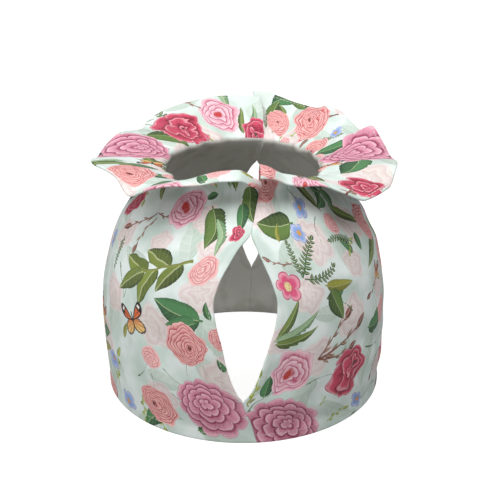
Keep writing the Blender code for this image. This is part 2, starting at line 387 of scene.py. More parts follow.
# The print's blooms: petals in the widest ring, rings, how far petals part; unevenness; heart radius;
# light, deep and heart colour.
BLOOMS = {
    "rosette": ((12, 5, 0.66), 0.12, 0.00, "#e9a3b8", "#9a3159", "#8f1a45"),
    "rose": ((7, 5, 0.62), 0.36, 0.20, "#f7cdd8", "#c85a7c", "#c2362a"),
    "ranunculus": ((9, 8, 0.50), 0.32, 0.10, "#f5bcb6", "#c6444f", "#70302a"),
    "pale_rose": ((8, 5, 0.62), 0.40, 0.00, "#f9cbc6", "#dd7a80", "#cf535d"),
    "crimson": ((5, 3, 0.66), 0.50, 0.09, "#d64a69", "#8e1532", "#43342a"),
    "dog_rose": ((5, 1, 0.34), 0.12, 0.30, "#ea5f8a", "#ad1848", "#e9d89c"),
    "blue": ((5, 1, 0.44), 0.10, 0.28, "#93b2e6", "#4067b4", "#e0a033"),
}

# The print's sprays: leaf spacing, length and width; leaf angle in degrees; the end leaf's share of the
# spray and its half width; reach beside the stem; light, deep and stem colour. LONE has the end leaf
# alone, because its spacing is longer than the spray.
LONE = (9.0, 0.10, 0.020)
SPRAYS = {
    "olive": ((0.27, 0.48, 0.115), 34, 0.46, 0.100, 0.38, "#87993f", "#33421c", "#7d7440"),
    "emerald": ((0.30, 0.48, 0.140), 46, 0.46, 0.150, 0.48, "#6aa873", "#174a2a", "#3f6b3b"),
    "lance": (LONE, 34, 0.96, 0.115, 0.15, "#839a48", "#2a3d18", "#6f7c3c"),
    "pale_lance": (LONE, 34, 0.96, 0.105, 0.14, "#a9c89f", "#4b7449", "#8fae7c"),
    "leaf": (LONE, 34, 0.94, 0.240, 0.27, "#549058", "#163a20", "#3d5f34"),
    "broad": (LONE, 34, 0.92, 0.260, 0.29, "#6b8a40", "#1f3415", "#3d4f24"),
    "gold_leaf": (LONE, 34, 0.94, 0.160, 0.19, "#aaa942", "#6a6d22", "#8b8a3c"),
    "twig": ((0.30, 0.20, 0.026), 26, 0.24, 0.070, 0.16, "#a8625c", "#4c2320", "#5b4330"),
    "lace": ((0.100, 0.17, 0.034), 54, 0.12, 0.040, 0.20, "#5c7c4e", "#182b12", "#3f5c33"),
    "shoot": ((0.30, 0.20, 0.050), 34, 0.30, 0.060, 0.19, "#c0ca62", "#6d8028", "#7c8c30"),
    "stem": (LONE, 34, 0.12, 0.014, 0.05, "#6d8a60", "#385033", "#3c5636"),
}

# The layers, from the lowest up, and the faded ones' light and deep colour and strength.
SPRAY_LAYERS = ("spray_1", "spray_2", "spray_3")
PRINT_ORDER = ("faded_leaf", "faded_bloom", *SPRAY_LAYERS, "bloom", "butterfly")
FADED = {"faded_leaf": ("#d2ded3", "#a9bfae", 0.75), "faded_bloom": ("#efdcd9", "#dcb9ba", 0.70)}

# How far motifs reach from their middle or stem, as a share of their size.
BLOOM_REACH = 1.05
FADED_BLOOM_REACH = 1.02
FADED_LEAF_REACH = 0.23

# What is printed where: motif, across, up, size (a bloom's radius, a spray's length) and turn.
PRINTS = {
    "left": """
        rosette 19 23 20.5 0, ranunculus 23 64 13.5 0, pale_rose 14 107 9.5 0, crimson 116 128 10 0,
        rose 56 143 14 0, ranunculus 55 17 12.5 200, pale_rose 50 49 7 0, blue 96 30 7 0,
        blue 83 10 7 0, crimson 9 131 5.5 0, ranunculus 0 69 7 0, rosette 153 207 23 0,
        ranunculus 96 204 13 0, crimson 203 213 19 0, rose 240 209 15 0, rose 92 170 12 0,
        pale_rose 40 172 9 0, crimson 128 172 11 0, olive 25 112 62 -29, twig 79 134 32 -40,
        twig 76 131 27 -92, twig 78 134 22 178, leaf 8 79 36 12, leaf 12 78 24 -12, leaf 3 80 11 80,
        broad 36 147 30 -116, leaf 12 151 20 -100, pale_lance 28 139 28 -123, shoot 94 14 32 112,
        stem 42 45 12 -139, stem 24 52 9 -79, stem 14 52 7 -102, leaf 1 49 9 67, stem 52 39 12 -76,
        broad 174 203 32 60, lance 252 226 24 -80, pale_lance 260 226 26 -79, broad 7 165 28 -105,
        lance 20 158 34 79, pale_lance 26 160 30 95, emerald 70 160 32 60, twig 222 190 26 70,
        leaf 70 195 24 100, lance 110 150 26 200, stem 60 100 26 -60, stem 84 96 22 240,
        lace 96 110 22 250, gold_leaf 76 52 14 120, leaf 33 6 14 160, stem 66 32 20 130,
        butterfly 63 68 14 -20, butterfly 124 222 9 90
    """,
    "right": """
        rosette 19 7 24.5 0, rose 21 48 14.5 0, crimson 66 36 16.5 0, dog_rose 12 99 10 0,
        blue 77 10 7 0, blue 49 142 8 0, blue 38 128 7 0, pale_rose 73 127 7 0, ranunculus 220 211 17 0,
        rosette 146 208 24 0, crimson 82 202 13 0, rose 40 194 13 0, pale_rose 90 168 9 0,
        rose 120 162 12 0, pale_rose 108 60 9 0, broad 37 134 34 175, lance 84 137 34 -37,
        lace 24 102 34 42, lace 24 102 24 86, lace 25 101 30 8, gold_leaf 38 95 26 -8,
        broad 42 93 24 -62, lance 3 69 26 62, pale_lance 2 68 33 27, lance 3 66 30 14, twig 37 52 36 46,
        twig 37 52 43 24, twig 37 52 34 2, shoot 49 5 21 10, stem 33 37 19 5, shoot 3 26 28 99,
        leaf 9 32 15 97, stem 83 45 34 -8, stem 1 21 20 50, shoot 45 19 9 40, leaf 176 232 28 -118,
        leaf 128 214 34 173, shoot 248 232 24 -91, shoot 238 226 22 -153, broad 262 226 30 250,
        lance 252 200 26 100, leaf 62 165 26 20, lance 14 165 30 70, pale_lance 24 172 28 30,
        emerald 100 150 34 200, lace 196 222 24 230, twig 104 84 26 200, stem 62 74 24 150,
        stem 96 60 26 100, gold_leaf 20 124 12 80, butterfly 106 84 9 -20, butterfly 124 228 10 -81
    """,
}

# What fills the rest of the cloth: motif, how many, and the smallest and largest.
FILL = (
    ("rosette", 4, 18, 24), ("rose", 6, 12, 16), ("ranunculus", 6, 11, 16), ("crimson", 5, 12, 17),
    ("pale_rose", 5, 7, 11), ("dog_rose", 4, 8, 11), ("blue", 8, 6, 8), ("butterfly", 2, 10, 13),
    ("olive", 5, 44, 62), ("emerald", 6, 34, 46), ("broad", 8, 24, 36), ("lance", 9, 26, 38),
    ("pale_lance", 8, 26, 40), ("leaf", 9, 16, 28), ("twig", 9, 28, 40), ("lace", 7, 24, 34),
    ("shoot", 8, 16, 30), ("gold_leaf", 4, 18, 26), ("stem", 12, 16, 28), ("leaf", 8, 10, 18),
    ("twig", 6, 18, 26),
    ("faded_bloom", 36, 10, 18), ("faded_leaf", 80, 24, 44),
)
TRIES = 30
# The front's part that only slight motifs fill, and how short a slight spray is.
FRONT_WIDTH = 112.0
FRONT_HEIGHT = NECK_UP + 10
SLIGHT = 28.0
SAMPLES = 9

# A place or a number that is off every motif, and one that only keeps a divisor from being 0.
OUTSIDE = 9.0
TINY = 0.0001


def layers_of(kind):
    return SPRAY_LAYERS if kind in SPRAYS else ("bloom",) if kind in BLOOMS else (kind,)


def footprint(motif):
    """A motif's two ends on the flat cloth and how far it reaches around the line between them."""
    kind, across, up, size, turn = motif
    start = np.array((across, up), float)
    if kind in SPRAYS or kind == "faded_leaf":
        angle = math.radians(turn)
        reach = SPRAYS[kind][4] if kind in SPRAYS else FADED_LEAF_REACH
        return start, start + size * np.array((math.cos(angle), math.sin(angle))), size * reach
    return start, start, size * (FADED_BLOOM_REACH if kind == "faded_bloom" else BLOOM_REACH)


def from_line(points, start, end):
    """Distance of flat points from the line between a motif's two ends."""
    line = end - start
    length = max(float(line @ line), 1e-9)
    along = np.clip(((points - start) @ line) / length, 0, 1)
    return np.linalg.norm(points - start - along[..., None] * line, axis=-1)


def apart(one, other):
    start, end, reach = footprint(one)
    samples = start + (end - start) * np.linspace(0, 1, SAMPLES)[:, None]
    first, last, other_reach = footprint(other)
    return from_line(samples, first, last).min() > reach + other_reach


def in_front(motif):
    """Whether a motif lies on the body's front, which the table has filled."""
    return motif[1] < FRONT_WIDTH and motif[2] < FRONT_HEIGHT


def free_layers(motif, dealt):
    return [layer for layer in layers_of(motif[0]) if all(apart(motif, other) for other in dealt[layer])]


def arrange(side, height):
    """Deals a panel's motifs over the layers, none on another of its layer: the table's, then a fill.
    The fill puts no large motif on the front, and none where the lowest layer is taken."""
    dealt = {layer: [] for layer in PRINT_ORDER}
    for row in PRINTS[side].split(","):
        kind, *numbers = row.split()
        motif = (kind, *map(float, numbers))
        free = free_layers(motif, dealt)
        if not free:
            raise ValueError(f"no layer has room for {motif}")
        dealt[free[0]].append(motif)
    rng = np.random.default_rng(PRINT_SEED[side])
    for kind, count, smallest, largest in FILL:
        for _ in range(count):
            for _ in range(TRIES):
                motif = (kind, rng.uniform(0, FLAT_WIDTH), rng.uniform(0, 2 * height - NECK_UP),
                         rng.uniform(smallest, largest), rng.uniform(0, 360))
                free = free_layers(motif, dealt)
                slight = kind in FADED or kind in SPRAYS and motif[3] < SLIGHT
                if layers_of(kind)[0] in free and (slight or not in_front(motif)):
                    dealt[free[-1]].append(motif)
                    break
    return dealt


def lay(mesh, flat, layer, motifs):
    """Writes one layer's motifs on the cloth: each corner's place in its motif, each face's looks."""
    faces = len(flat)
    place = np.full((faces, 4, 3), OUTSIDE)
    looks = {name: np.zeros((faces, 4)) for name in ("form", "light", "deep", "third")}
    for number, motif in enumerate(motifs):
        kind, _, _, size, turn = motif
        start, end, reach = footprint(motif)
        near = (from_line(flat, start, end) < reach).any(axis=1)
        angle = math.radians(turn)
        away = (flat[near] - start) / size
        place[near, :, 0] = away[..., 0] * math.cos(angle) + away[..., 1] * math.sin(angle)
        place[near, :, 1] = away[..., 1] * math.cos(angle) - away[..., 0] * math.sin(angle)
        place[near, :, 2] = 1.37 * number + 0.5
        if kind in BLOOMS:
            form, uneven, heart, light, deep, third = BLOOMS[kind]
            values = (*form, 0), (*linear(light), uneven), (*linear(deep), heart), (*linear(third), 1)
        elif kind in SPRAYS:
            form, lean, end_share, end_width, _, light, deep, third = SPRAYS[kind]
            values = ((*form, end_width), (*linear(light), math.radians(lean)),
                      (*linear(deep), end_share), (*linear(third), 1))
        else:
            continue
        for name, value in zip(looks, values):
            looks[name][near] = value
    at = mesh.attributes.new(layer + "_place", "FLOAT_VECTOR", "CORNER")
    at.data.foreach_set("vector", place.ravel())
    if layer == "bloom" or layer in SPRAY_LAYERS:
        for name, values in looks.items():
            at = mesh.attributes.new(f"{layer}_{name}", "FLOAT_COLOR", "FACE")
            at.data.foreach_set("color", values.ravel())


def print_cloth(mesh, flat, side, height):
    """Lays every layer of the print on a panel, and notes each corner's place on the flat cloth."""
    for layer, motifs in arrange(side, height).items():
        lay(mesh, flat, layer, motifs)
    cloth = mesh.attributes.new("cloth", "FLOAT_VECTOR", "CORNER")
    heights = np.full((*flat.shape[:2], 1), height)
    cloth.data.foreach_set("vector", np.concatenate((flat, heights), axis=2).ravel())


def operation(kind):
    """A method that joins two values by one kind of sum."""
    return lambda one, other: reckon(kind, one, other)


class Field:
    """A value that changes over the cloth: a shader node's output that can take part in sums."""

    def __init__(self, tree, socket):
        self.tree, self.socket = tree, socket

    def __rsub__(self, other):
        return reckon("SUBTRACT", other, self)

    def __neg__(self):
        return reckon("MULTIPLY", self, -1.0)

    def __abs__(self):
        return reckon("ABSOLUTE", self)

    __add__ = __radd__ = operation("ADD")
    __sub__ = operation("SUBTRACT")
    __mul__ = __rmul__ = operation("MULTIPLY")
    __truediv__ = operation("DIVIDE")
    __gt__, __lt__ = operation("GREATER_THAN"), operation("LESS_THAN")


def add_node(tree, kind, **settings):
    node = tree.nodes.new(kind)
    number = len(tree.nodes) - 1
    node.location = (190 * (number // 10), -190 * (number % 10))
    for name, value in settings.items():
        setattr(node, name, value)
    return node


def feed(tree, value, socket):
    if isinstance(value, Field):
        tree.links.new(value.socket, socket)
    else:
        socket.default_value = value


def wire(kind, inputs, output, **settings):
    """Adds a node, feeds its inputs by number or name, and gives back one of its outputs."""
    tree = next(value.tree for value in inputs.values() if isinstance(value, Field))
    node = add_node(tree, kind, **settings)
    for key, value in inputs.items():
        feed(tree, value, node.inputs[key])
    return Field(tree, node.outputs[output])


def reckon(kind, *values):
    return wire("ShaderNodeMath", dict(enumerate(values)), 0, operation=kind)


most, least = partial(reckon, "MAXIMUM"), partial(reckon, "MINIMUM")
sine, cosine, bearing = partial(reckon, "SINE"), partial(reckon, "COSINE"), partial(reckon, "ARCTAN2")
fract, whole, square_root = partial(reckon, "FRACT"), partial(reckon, "FLOOR"), partial(reckon, "SQRT")


def ramp(value, low, high):
    """0 below low and 1 above high, softly between; the other way round when low is the higher."""
    inputs = {"Value": value, "From Min": low, "From Max": high}
    return wire("ShaderNodeMapRange", inputs, "Result", interpolation_type="SMOOTHSTEP")


def between(factor, one, other):
    return wire("ShaderNodeMix", {0: factor, 2: one, 3: other}, 0, data_type="FLOAT")


def tint(factor, one, other, kind="MIX"):
    return wire("ShaderNodeMix", {0: factor, 6: one, 7: other}, 2, data_type="RGBA", blend_type=kind,
                clamp_factor=True)


def vector(x, y, z):
    return wire("ShaderNodeCombineXYZ", {0: x, 1: y, 2: z}, 0)


def parts(value):
    first = wire("ShaderNodeSeparateXYZ", {0: value}, 0)
    return [Field(value.tree, socket) for socket in first.socket.node.outputs]


def noise(place, scale, detail=1.0):
    """A noise of about 0 to 1 as a number, and another as a colour."""
    number = wire("ShaderNodeTexNoise", {"Vector": place, "Scale": scale, "Detail": detail}, "Fac")
    return number, Field(place.tree, number.socket.node.outputs["Color"])


def chance(x, y, z):
    """A number from 0 to 1 that is random from one whole place to the next."""
    return fract(sine(x * 12.99 + y * 78.23 + z * 3.77) * 437.58)


SOCKETS = {"number": "NodeSocketFloat", "vector": "NodeSocketVector", "colour": "NodeSocketColor"}


def group(name, inputs, outputs, fill):
    """A shader node group with named inputs and outputs, built once."""
    if name in bpy.data.node_groups:
        return bpy.data.node_groups[name]
    tree = bpy.data.node_groups.new(name, "ShaderNodeTree")
    for names, direction in ((inputs, "INPUT"), (outputs, "OUTPUT")):
        for socket_name, kind in names.items():
            tree.interface.new_socket(name=socket_name, in_out=direction, socket_type=SOCKETS[kind])
    entry, leave = add_node(tree, "NodeGroupInput"), add_node(tree, "NodeGroupOutput")
    given = [Field(tree, entry.outputs[socket_name]) for socket_name in inputs]
    for socket_name, value in zip(outputs, fill(*given)):
        feed(tree, value, leave.inputs[socket_name])
    return tree


def use(tree, group_tree, *values):
    """Places a group in a tree with its values in order, and gives back its outputs in order."""
    node = add_node(tree, "ShaderNodeGroup", node_tree=group_tree)
    for socket, value in zip(node.inputs, values):
        feed(tree, value, socket)
    return [Field(tree, socket) for socket in node.outputs]


def petal_ring(ring, turn, petals, rings, ruffle, seed):
    """Where one ring of petals ends, and the place across the petal that lies at a turn of the bloom."""
    count = whole(3.01 + (petals - 3) * (ring + 1) / rings)
    place = turn * count + ring * 0.5 + seed * 0.37
    petal = reckon("FLOORED_MODULO", whole(place), count)
    across = fract(place) * 2 - 1
    uneven = chance(petal, ring, seed)
    arch = square_root(most(1 - across * across, 0.0))
    edge = ring + 1 - ruffle * (1 - arch) - ruffle * 0.45 * uneven
    return edge, across, uneven


def bloom(place, form, light, deep, heart, uneven, heart_size, sway, grain):
    """A bloom of overlapping petals in rings, inner over outer, on a unit disc."""
    ring_group = group("petal_ring", {
        "Ring": "number", "Turn": "number", "Petals": "number", "Rings": "number", "Ruffle": "number",
        "Seed": "number"}, {"Edge": "number", "Across": "number", "Chance": "number"}, petal_ring)
    tree = place.tree
    x, y, seed = parts(place)
    petals, rings, ruffle = parts(form)
    aside, along, _ = parts(sway)
    x, y = x + (aside - 0.5) * uneven * 2, y + (along - 0.5) * uneven * 2
    lean_x, lean_y = cosine(seed * 2.1) * HEART_LEAN, sine(seed * 2.1) * HEART_LEAN
    away_x, away_y = x - lean_x, y - lean_y
    distance = square_root(away_x * away_x + away_y * away_y) + TINY
    along = (away_x * lean_x + away_y * lean_y) / distance
    reach = square_root(along * along + (1 - HEART_LEAN ** 2)) - along
    radius = distance / reach
    turn = bearing(away_y, away_x) / math.tau + 0.5
    level = radius * rings
    first = whole(level)
    first_edge = use(tree, ring_group, first, turn, petals, rings, ruffle, seed)[0]
    ring = first + (level > first_edge)
    edge, across, own = use(tree, ring_group, ring, turn, petals, rings, ruffle, seed)
    cover = use(tree, ring_group, ring - 1, turn, petals, rings, ruffle, seed)[0]
    depth, lip = edge - level, level - cover
    covered = ring > 0.5
    streak = noise(vector(across * 2.0 + own * 9, level * 0.7, seed + ring), 2.4, 2.0)[0]
    side = across * across
    shade = ramp(depth, 0.0, 1.15) * 0.52 + side * side * 0.42
    shade = shade + ramp(lip, 0.42, 0.0) * covered * 0.55 + (streak - 0.5) * 0.75 + (own - 0.5) * 0.20
    colour = tint(shade, light, deep)
    rim = ramp(depth, 0.02, 0.10) * ramp(depth, 0.34, 0.12)
    colour = tint(rim * 0.38, colour, PETAL_RIM)
    line = most(ramp(lip, 0.10, 0.0) * covered, ramp(depth, 0.12, 0.02) * 0.7)
    colour = tint(line * 0.55, colour, tint(line, deep, PETAL_LINE, "MULTIPLY"))
    middle = ramp(radius + (grain - 0.5) * 0.12, heart_size + 0.02, heart_size * 0.72 - 0.012)
    colour = tint(middle, colour, heart)
    dots = middle * ramp(grain, 0.54, 0.62) * ramp(radius, heart_size * 0.2, heart_size * 0.5)
    colour = tint(dots * 0.7, colour, deep)
    return colour, level < edge + (rings - ring - 1) * OUTSIDE


def leafy(place, form, end_width, light, deep, stem, angle, end_part, sway, grain):
    """A spray along a unit stem: pairs of leaves, an end leaf and the stem."""
    x, y, seed = parts(place)
    spacing, length, width = parts(form)
    aside, along, _ = parts(sway)
    x, y = x + (aside - 0.5) * 0.04, y + (along - 0.5) * 0.06
    y = y - sine(seed * 5.3) * x * (1 - x) * 0.4
    aside, upper = abs(y), y > 0
    slope_x, slope_y = cosine(angle), sine(angle)
    stem_end = 1 - end_part
    offset = 0.10 + upper * spacing * 0.45
    back = x - aside * slope_x / slope_y - offset
    number = most(reckon("ROUND", back / spacing), 0.0)
    root = offset + number * spacing
    slip = back - number * spacing
    along, over = aside / slope_y + slip * slope_x, slip * slope_y
    own = chance(number, upper, seed)
    size = length * (0.70 + own * 0.35) * (1.1 - root * 0.45)
    side_part = along / size
    over = over + (side_part - 0.5) * size * 0.16 * (own - 0.2)
    side_half = width * leaf_profile(side_part, LEAF_TEETH)
    on_side = (abs(over) < side_half) * (root < stem_end - 0.02)
    end_at = (x - stem_end) / end_part
    end_half = end_width * leaf_profile(end_at, LEAF_TEETH)
    on_end = aside < end_half
    part, half = between(on_end, side_part, end_at), between(on_end, side_half, end_half)
    across = between(on_end, over, y) / (half + TINY)
    off = abs(across)
    vein = ramp(sine((part * 7 - off * 1.1) * math.tau), 0.72, 0.98) * ramp(half, 0.02, 0.05)
    shade = 0.70 + ramp(across, -0.10, 0.10) * -0.46 + ramp(off, 0.60, 1.0) * 0.34 + (grain - 0.5) * 1.0
    shade = shade + (0.5 - own) * 0.35 * (1 - on_end)
    colour = tint(shade, light, deep)
    rib = ramp(off * half, 0.011, 0.004)
    colour = tint(most(rib * 0.50, vein * 0.32), colour, tint(rib, light, LEAF_RIB))
    thick = STEM_HALF * (1.5 - x)
    on_stem = (aside < thick) * (x > 0.0) * (x < stem_end + 0.02)
    leaf = most(on_side, on_end)
    colour = tint(on_stem, colour, tint(ramp(y, -thick, thick), light, stem))
    return colour, most(leaf, on_stem)


def pale_bloom(place, light, deep):
    """A soft faded bloom, like one printed far behind the others."""
    x, y, seed = parts(place)
    radius, turn = square_root(x * x + y * y), bearing(y, x)
    petals = sine(turn * 5 + seed) * 0.09
    bend = sine(turn * 4 - seed) * 0.16 + sine(turn * 7 + radius * 5) * 0.13
    rings = fract((radius - petals) * 2.7 + bend)
    soft = ramp(rings, 0.0, 0.9) * ramp(rings, 1.0, 0.86)
    return tint(soft * 0.75, light, deep), ramp(radius - petals, 0.92, 0.74)


def pale_leaf(place, light, deep):
    """A soft faded leaf along a unit stem."""
    x, y, seed = parts(place)
    y = y - sine(seed) * x * (1 - x) * 0.35
    half = leaf_profile(x) * 0.20
    off = abs(y) / (half + TINY)
    vein = ramp(sine((x * 6 - off) * math.tau), 0.6, 1.0) * 0.3
    shade = 0.35 + (y > 0) * 0.35 - vein - ramp(abs(y), 0.016, 0.006) * 0.35
    return tint(shade, light, deep), ramp(abs(y) - half, 0.006, -0.012)


def leaf_profile(part, teeth=0.0):
    """Half width along a leaf, as a share of its widest: round at the stem, pointed at the tip."""
    swell = most(part * (1 - part), 0.0) / square_root(most(part, TINY)) * 2.6
    if teeth:
        swell = swell * (1 - teeth + teeth * fract(part * 15))
    return swell - (1 - (part > 0) * (part < 1)) * OUTSIDE


def butterfly(place):
    """Two pairs of orange wings with dark borders, pale spots and veins, spread on a unit disc."""
    x, y, _ = parts(place)
    out = abs(x)
    upper_along = out * math.cos(UPPER_WING) + y * math.sin(UPPER_WING)
    upper_over = y * math.cos(UPPER_WING) - out * math.sin(UPPER_WING)
    share = upper_along / 1.02
    swell = leaf_profile(1 - share)
    upper_rim = least(0.13 * swell - upper_over, upper_over + 0.34 * swell)
    on_upper = upper_rim > 0
    lower_along = out * math.cos(LOWER_WING) - y * math.sin(LOWER_WING)
    lower_over = y * math.cos(LOWER_WING) + out * math.sin(LOWER_WING)
    a, b = (lower_along - 0.40) / 0.42, lower_over / 0.30
    oval = a * a + b * b
    on_lower = oval < 1
    spread = bearing(y, out + 0.06)
    vein = abs(fract(spread * 3.2) - 0.5) < 0.075
    upper_dark = most(ramp(upper_rim, 0.075, 0.055), ramp(share, 0.60, 0.66))
    lower_dark = ramp(oval, 0.58, 0.68)
    dark = between(on_upper, lower_dark, upper_dark)
    dark = most(dark, vein * 0.85)
    colour = tint(ramp(y, -0.45, 0.25), BUTTERFLY["pale"], BUTTERFLY["orange"])
    colour = tint(dark, colour, BUTTERFLY["dark"])
    patch = on_upper * (share > 0.72) * (share < 0.84) * (abs(upper_over + 0.05) < 0.09)
    dots = (1 - on_upper) * (abs(oval - 0.88) < 0.055) * (abs(fract(spread * 6.4) - 0.5) < 0.20)
    colour = tint(most(patch, dots), colour, BUTTERFLY["spot"])
    body = (out < 0.035) * (abs(y) < 0.34)
    colour = tint(body, colour, BUTTERFLY["dark"])
    return colour, most(most(on_upper, on_lower), body)


def weave(across, up):
    """The plain weave's height, and how light each thread is."""
    over = sine(across * (math.tau / THREAD_PITCH)) * sine(up * (math.tau / THREAD_PITCH))
    warp = noise(vector(across * 2.2, up * 0.06, 0.0), 1.0, 1.0)[0]
    weft = noise(vector(across * 0.06, up * 2.2, 4.0), 1.0, 1.0)[0]
    return over, warp + weft - 1


def stitches(across, up, height):
    """Rows of machine stitches along the hem, the front slit's turned edge and the frill's edge."""
    hem = row_of_stitches(up - HEM_STITCHES, across)
    edge = row_of_stitches(height - up - FRILL_STITCHES, across)
    edge = most(edge, row_of_stitches(up - height - FRILL_STITCHES, across))
    low, high = SLIT_SPAN
    slit = row_of_stitches(across - SLIT_STITCHES, up) * (up > low) * (up < high)
    return most(most(hem, edge), slit)


def row_of_stitches(off, along):
    return ramp(abs(off), 0.34, 0.20) * ramp(abs(fract(along / STITCH_PITCH) - 0.5), 0.36, 0.28)


# Numbers of the drawn motifs: shares of a bloom's radius, a spray's length or a leaf, and angles.
HEART_LEAN = 0.24
STEM_HALF = 0.0115
LEAF_TEETH = 0.045
UPPER_WING = math.radians(42)
LOWER_WING = math.radians(38)

# The cloth's threads and rows of stitches, in millimetres on the flat cloth.
THREAD_PITCH = 0.56
STITCH_PITCH = 2.6
HEM_STITCHES = HEM_TURN - 1.5
SLIT_STITCHES = SLIT_TURN - 1.3
FRILL_STITCHES = 2.2
SLIT_SPAN = (27.0, 128.0)

# Colours of petal lines, ribs, wings, show-through and threads, and the cloth's surface.
PETAL_LINE = (0.10, 0.01, 0.03, 1)
PETAL_RIM = (*linear("#fbe6ea"), 1)
LEAF_RIB = (*linear("#dfe6b4"), 1)
BUTTERFLY = {name: (*linear(code), 1) for name, code in (
    ("orange", "#d8642c"), ("pale", "#edc27a"), ("dark", "#1c1512"), ("spot", "#f4efe6"))}
SHOW_THROUGH = (*linear("#b9b6a8"), 1)
THREAD = (*linear("#e9e9df"), 1)
GREY, WHITE = (0.55, 0.55, 0.55, 1), (1, 1, 1, 1)
CLOTH_SURFACE = {"Sheen Weight": 0.12, "Sheen Roughness": 0.45, "Specular IOR Level": 0.30}
WEAVE_BUMP = {"Strength": 0.35, "Distance": 0.00012}


def attribute(tree, name):
    node = add_node(tree, "ShaderNodeAttribute", attribute_name=name, attribute_type="GEOMETRY")
    return {output.name: Field(tree, output) for output in node.outputs}


def opaque(colour):
    return (*colour[:3], 1)


def set_inputs(node, values):
    for name, value in values.items():
        node.inputs[name].default_value = value


def printed_cloth(name, ground, ice):
    """Printed cloth: ground, faded print, sprays, blooms, butterflies, then stitches, weave and sheen."""
    colours = {"Light": "colour", "Deep": "colour", "Third": "colour"}
    noises = {"Sway": "vector", "Grain": "number"}
    out = {"Colour": "colour", "Mask": "number"}
    shaped = {"Place": "vector", "Form": "vector"}
    bloom_group = group("bloom", {**shaped, **colours, "Uneven": "number", "Heart Size": "number",
                                  **noises}, out, bloom)
    spray_group = group("leaf_spray", {**shaped, "End Width": "number", **colours, "Leaf Angle": "number",
                                       "End Part": "number", **noises}, out, leafy)
    pale = {"Place": "vector", "Light": "colour", "Deep": "colour"}
    faded = {"faded_bloom": group("pale_bloom", pale, out, pale_bloom),
             "faded_leaf": group("pale_leaf", pale, out, pale_leaf)}
    wing_group = group("butterfly", {"Place": "vector"}, out, butterfly)
    stitch_group = group("stitch_rows", {"Across": "number", "Up": "number", "Height": "number"},
                         {"Mask": "number"}, lambda *places: [stitches(*places)])
    material, across, up, height, flat, grain = start_cloth(name)
    tree = flat.tree
    sway = noise(flat, 0.09, 1.5)[1]
    wash = noise(flat, 0.045, 2.0)[0]
    colour = tint(ramp(wash, 0.36, 0.64), opaque(ground), opaque(ice))
    for layer in PRINT_ORDER:
        place = attribute(tree, layer + "_place")["Vector"]
        if layer in FADED:
            light, deep, strength = FADED[layer]
            over, mask = use(tree, faded[layer], place, opaque(linear(light)), opaque(linear(deep)))
            mask = mask * strength
        elif layer == "butterfly":
            over, mask = use(tree, wing_group, place)
        else:
            form, light, deep, third = (
                attribute(tree, f"{layer}_{part}") for part in ("form", "light", "deep", "third"))
            looks = (light["Color"], deep["Color"], third["Color"], light["Alpha"], deep["Alpha"],
                     sway, grain)
            if layer == "bloom":
                over, mask = use(tree, bloom_group, place, form["Vector"], *looks)
            else:
                over, mask = use(tree, spray_group, place, form["Vector"], form["Alpha"], *looks)
        colour = tint(mask, colour, over)
    sewn = use(tree, stitch_group, across, up, height)[0]
    finish_cloth(material, across, up, grain, tint(sewn * 0.45, colour, THREAD), sewn)
    return material


def plain_cloth(name, backing):
    """The plain back of the printed cloth, with a soft mottle of the print that shows through."""
    material, across, up, _, flat, grain = start_cloth(name)
    wash = noise(flat, 0.07, 2.0)[0]
    colour = tint(ramp(wash, 0.48, 0.66) * 0.35, opaque(backing), SHOW_THROUGH)
    finish_cloth(material, across, up, grain, colour, 0.0)
    return material


def start_cloth(name):
    """A material with the flat cloth's coordinates and its fine grain."""
    material = bpy.data.materials.new(name)
    material.use_nodes = True
    tree = material.node_tree
    across, up, height = parts(attribute(tree, "cloth")["Vector"])
    flat = vector(across, up, 0.0)
    return material, across, up, height, flat, noise(flat, 1.1, 2.0)[0]


def finish_cloth(material, across, up, grain, colour, raised):
    """Gives a cloth its threads, fuzz and sheen over its colour."""
    tree = material.node_tree
    weave_group = group("plain_weave", {"Across": "number", "Up": "number"},
                        {"Height": "number", "Thread": "number"}, weave)
    over, thread = use(tree, weave_group, across, up)
    colour = tint(abs(thread) * 0.16, colour, tint(thread > 0, GREY, WHITE))
    colour = tint((grain - 0.5) * 0.30, colour, WHITE)
    shader = tree.nodes["Principled BSDF"]
    feed(tree, colour, shader.inputs["Base Color"])
    feed(tree, 0.74 + grain * 0.16 - raised * 0.10, shader.inputs["Roughness"])
    set_inputs(shader, CLOTH_SURFACE)
    relief_height = over * 0.5 + grain * 1.2 + raised * 2.0
    normal = wire("ShaderNodeBump", {**WEAVE_BUMP, "Height": relief_height}, "Normal")
    feed(tree, normal, shader.inputs["Normal"])


def make_panel(side):
    """Makes one panel of printed cloth, which stands for the CAD panel of its side."""
    mesh, flat, plain, height = panel_mesh(side)
    print_cloth(mesh, flat, side, height)
    settings = bpy.context.scene.cosy_print
    mesh.materials.append(printed_cloth(side + "_print", settings.ground, settings.ice))
    mesh.materials.append(plain_cloth(side + "_back_of_cloth", settings.backing))
    mesh.polygons.foreach_set("material_index", plain)
    panel = add_object(side + "_panel_cloth", mesh)
    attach(panel, "root")
    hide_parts(side + "_panel")
    height * MM


def cloth_colour(name, description, code):
    return bpy.props.FloatVectorProperty(name=name, description=description, subtype="COLOR",
                                         default=linear(code), min=0, max=1)


def power(name, description, watts):
    return bpy.props.FloatProperty(name=name, description=description, default=watts, min=0, max=500)


class CosyPrint(bpy.types.PropertyGroup):
    """Colours of the cloth under and behind the print."""

    ground: cloth_colour("Ground", "Pale green of the printed ground", "#cbdcd3")
    ice: cloth_colour("Ice", "Near white that the ground washes into", "#e8f1ee")
    backing: cloth_colour("Backing", "Plain back of the cloth inside the body", "#e4e3dc")


